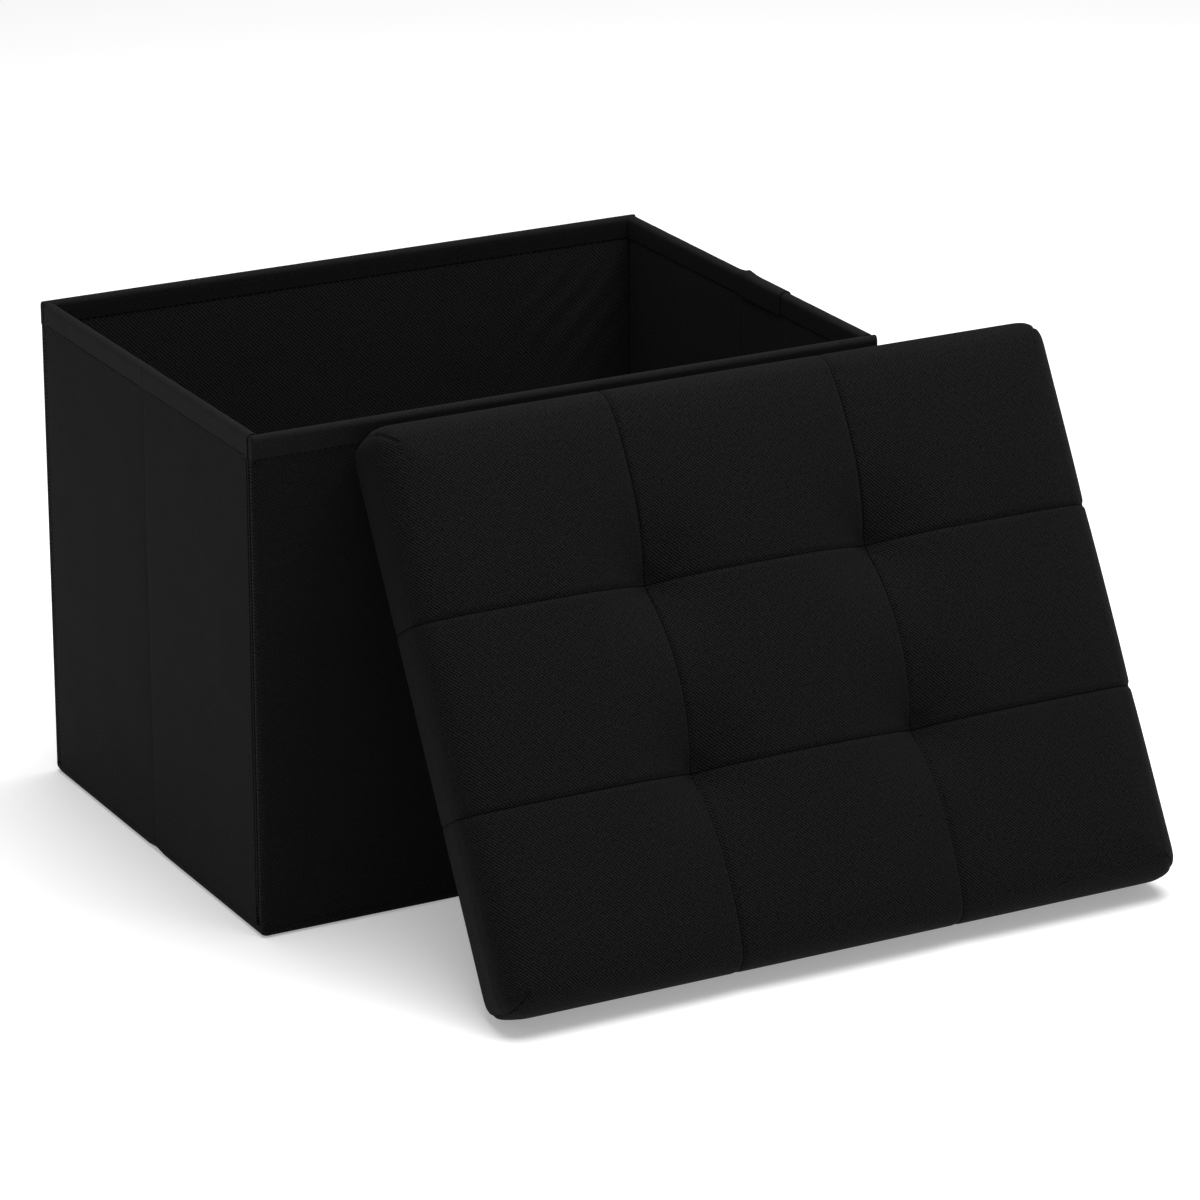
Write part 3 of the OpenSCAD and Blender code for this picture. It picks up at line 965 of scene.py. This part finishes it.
class Shader:
    """One material's nodes, around its Principled BSDF."""

    def __init__(self, name):
        self.material = bpy.data.materials.new(name)
        self.material.use_nodes = True
        self.tree = self.material.node_tree
        self.surface = self.tree.nodes["Principled BSDF"]

    def node(self, kind, **settings):
        made = self.tree.nodes.new(kind)
        for key, value in settings.items():
            setattr(made, key, value)
        return made

    def link(self, out, into):
        self.tree.links.new(out, into)

    def math(self, operation, a, b=0.0):
        made = self.node("ShaderNodeMath", operation=operation)
        for socket, value in zip(made.inputs, (a, b)):
            if isinstance(value, (int, float)):
                socket.default_value = value
            else:
                self.link(value, socket)
        return made.outputs[0]

    def noise(self, vector, scale, stretch=(1, 1, 1), detail=2.0):
        mapping = self.node("ShaderNodeMapping")
        mapping.inputs["Scale"].default_value = stretch
        self.link(vector, mapping.inputs["Vector"])
        made = self.node("ShaderNodeTexNoise")
        made.inputs["Scale"].default_value = scale
        made.inputs["Detail"].default_value = detail
        self.link(mapping.outputs[0], made.inputs["Vector"])
        return made.outputs["Fac"]

    def ramp(self, factor, low, high):
        mix = self.node("ShaderNodeMix", data_type="RGBA")
        self.link(factor, mix.inputs["Factor"])
        mix.inputs["A"].default_value = (*low, 1)
        mix.inputs["B"].default_value = (*high, 1)
        return mix.outputs["Result"]

    def bump(self, height, strength, distance):
        made = self.node("ShaderNodeBump")
        made.inputs["Strength"].default_value = strength
        made.inputs["Distance"].default_value = distance
        self.link(height, made.inputs["Height"])
        self.link(made.outputs[0], self.surface.inputs["Normal"])

    def set(self, **values):
        for key, value in values.items():
            self.surface.inputs[key.replace("_", " ")].default_value = value


WARP_SCALE = (450, 1700, 1)    # noise per metre along and across a thread
WEFT_SCALE = (1700, 450, 1)
PATCH_SCALE = 90.0
PATCHINESS = 0.12              # how much the cloth's tone varies from place to place


def woven(name, dark, light, pitch, slub, twill, contrast, sheen):
    """Cloth woven over the weave attribute, whose thread pitch is in metres.

    slub is the strength of thick and thin threads, contrast that of the regular weave, and
    twill the share of diagonal lines in it.
    """
    s = Shader(name)
    flat = s.node("ShaderNodeAttribute", attribute_name="weave").outputs["Vector"]
    parts = s.node("ShaderNodeSeparateXYZ")
    s.link(flat, parts.inputs[0])
    u, v = parts.outputs[0], parts.outputs[1]
    turn = math.pi / pitch
    wave_u = s.math("SINE", s.math("MULTIPLY", u, turn))
    wave_v = s.math("SINE", s.math("MULTIPLY", v, turn))
    over = s.math("MULTIPLY", wave_u, wave_v)
    diagonal = s.math("SINE", s.math("MULTIPLY", s.math("ADD", u, v), turn))
    over = s.math("ADD", s.math("MULTIPLY", over, 1 - twill), s.math("MULTIPLY", diagonal, twill))
    warp = s.noise(flat, 1.0, WARP_SCALE)
    weft = s.noise(flat, 1.0, WEFT_SCALE)
    patches = s.noise(flat, PATCH_SCALE, detail=3.0)
    slubs = s.math("ADD", s.math("MULTIPLY", s.math("ADD", warp, weft), slub), -slub)
    clouds = s.math("MULTIPLY", s.math("ADD", patches, -0.5), PATCHINESS)
    weave = s.math("ADD", s.math("MULTIPLY", over, contrast), slubs)
    s.link(s.ramp(s.math("ADD", s.math("ADD", weave, clouds), 0.5), dark, light),
           s.surface.inputs["Base Color"])
    s.bump(weave, 0.6, 0.25 * MM)
    s.set(Roughness=0.85)
    s.surface.inputs["Specular IOR Level"].default_value = 0.05
    s.surface.inputs["Sheen Weight"].default_value = sheen
    s.surface.inputs["Sheen Roughness"].default_value = 0.5
    return s.material


def plain(name, dark, light, roughness, scale, metallic=0.0, specular=0.5):
    """A hard material whose colour and surface vary with object coordinates."""
    s = Shader(name)
    place = s.node("ShaderNodeTexCoord").outputs["Object"]
    grain = s.noise(place, scale, detail=4.0)
    s.link(s.ramp(grain, dark, light), s.surface.inputs["Base Color"])
    s.bump(grain, 0.1, 0.2 * MM)
    s.set(Roughness=roughness, Metallic=metallic)
    s.surface.inputs["Specular IOR Level"].default_value = specular
    return s.material


MATERIALS = {
    "cover_cloth": woven("black_linen_look_cloth", (0.0, 0.0, 0.0), (0.0102, 0.0102, 0.0103),
                         pitch=1.1 * MM, slub=1.8, twill=0.35, contrast=1.0, sheen=0.012),
    "lining_cloth": woven("black_lining_cloth", (0.0, 0.0, 0.0), (0.0245, 0.0245, 0.0247),
                          pitch=1.3 * MM, slub=0.9, twill=0.35, contrast=0.5, sheen=0.012),
    # The binding is the same black cloth as the cover; its lighter colour here is painted light, standing in
    # for the light on the rim's top and inner face.
    "rim_binding": woven("black_binding_tape", (0.0, 0.0, 0.0), (0.0145, 0.0145, 0.0146),
                         pitch=1.1 * MM, slub=0.8, twill=0.2, contrast=0.35, sheen=0.02),
    "seam_thread": plain("black_thread", (0.0008, 0.0008, 0.0008), (0.0025, 0.0025, 0.0025), 0.9, 900,
                         specular=0.02),
    "wall_board": plain("grey_brown_board", (0.30, 0.23, 0.15), (0.42, 0.33, 0.23), 0.85, 120),
    "base_hardboard": plain("hardboard", (0.20, 0.12, 0.07), (0.32, 0.21, 0.12), 0.6, 200),
    "lid_wood": plain("fibreboard", (0.38, 0.27, 0.16), (0.50, 0.38, 0.25), 0.75, 260),
    "foam": plain("upholstery_foam", (0.62, 0.55, 0.38), (0.72, 0.66, 0.50), 0.9, 400),
    "washer_plastic": plain("white_plastic", (0.62, 0.62, 0.60), (0.70, 0.70, 0.68), 0.4, 80),
    "staple_steel": plain("zinc_plated_wire", (0.5, 0.5, 0.5), (0.62, 0.62, 0.62), 0.35, 700, metallic=1.0),
}

node_slot = {part["node"]: part["material_slot"] for part in frame["record"]["subparts"]}
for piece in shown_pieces():
    slot_name = piece.get("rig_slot") or node_slot[piece.name]
    piece.data.materials.clear()
    piece.data.materials.append(MATERIALS[slot_name])
    if "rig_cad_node" in piece:
        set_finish(piece, slot_name)


# ---- Floor, light and camera ----

FLOOR_HALF = 30
FLOOR_Z = -0.5 * MM
CAMERA_DOWN = 19.75       # degrees below level
CAMERA_TURN = -28.36      # degrees about Z
scene = bpy.context.scene
floor_shader = Shader("pale_floor")
place = floor_shader.node("ShaderNodeTexCoord").outputs["Object"]
floor_shader.link(floor_shader.ramp(floor_shader.noise(place, 3.0), (0.80, 0.80, 0.80), (0.82, 0.82, 0.82)),
                  floor_shader.surface.inputs["Base Color"])
floor_shader.set(Roughness=0.9)
floor_shader.surface.inputs["Specular IOR Level"].default_value = 0.0
floor_shader.surface.inputs["Emission Color"].default_value = (1, 1, 1, 1)
floor_shader.surface.inputs["Emission Strength"].default_value = 0.32
floor_mesh = bpy.data.meshes.new("floor")
floor_mesh.from_pydata([(-FLOOR_HALF, -FLOOR_HALF, FLOOR_Z), (FLOOR_HALF, -FLOOR_HALF, FLOOR_Z),
                        (FLOOR_HALF, FLOOR_HALF, FLOOR_Z), (-FLOOR_HALF, FLOOR_HALF, FLOOR_Z)],
                       [], [(0, 1, 2, 3)])
floor = bpy.data.objects.new("floor", floor_mesh)
floor_mesh.materials.append(floor_shader.material)
scene.collection.objects.link(floor)

world = bpy.data.worlds.new("studio")
world.use_nodes = True
world.node_tree.nodes["Background"].inputs["Color"].default_value = (1, 1, 1, 1)
world.node_tree.nodes["Background"].inputs["Strength"].default_value = 0.3
scene.world = world


def area_light(name, place, target, size, power):
    data = bpy.data.lights.new(name, "AREA")
    data.shape = "SQUARE"
    data.size = size
    data.energy = power
    light = bpy.data.objects.new(name, data)
    light.location = place
    light.rotation_euler = (Vector(target) - Vector(place)).to_track_quat("-Z", "Y").to_euler()
    scene.collection.objects.link(light)


area_light("overhead", (0.4, -0.25, 2.6), (0.05, -0.1, 0.1), 2.2, 98)

camera_data = bpy.data.cameras.new("camera")
camera_data.lens = 167.25
camera_data.sensor_width = 36
camera = bpy.data.objects.new("camera", camera_data)
camera.location = (-1.517, -3.003, 1.339)
camera.rotation_euler = (math.radians(90 - CAMERA_DOWN), 0, math.radians(CAMERA_TURN))
scene.collection.objects.link(camera)
scene.camera = camera
scene.view_settings.view_transform = "Standard"
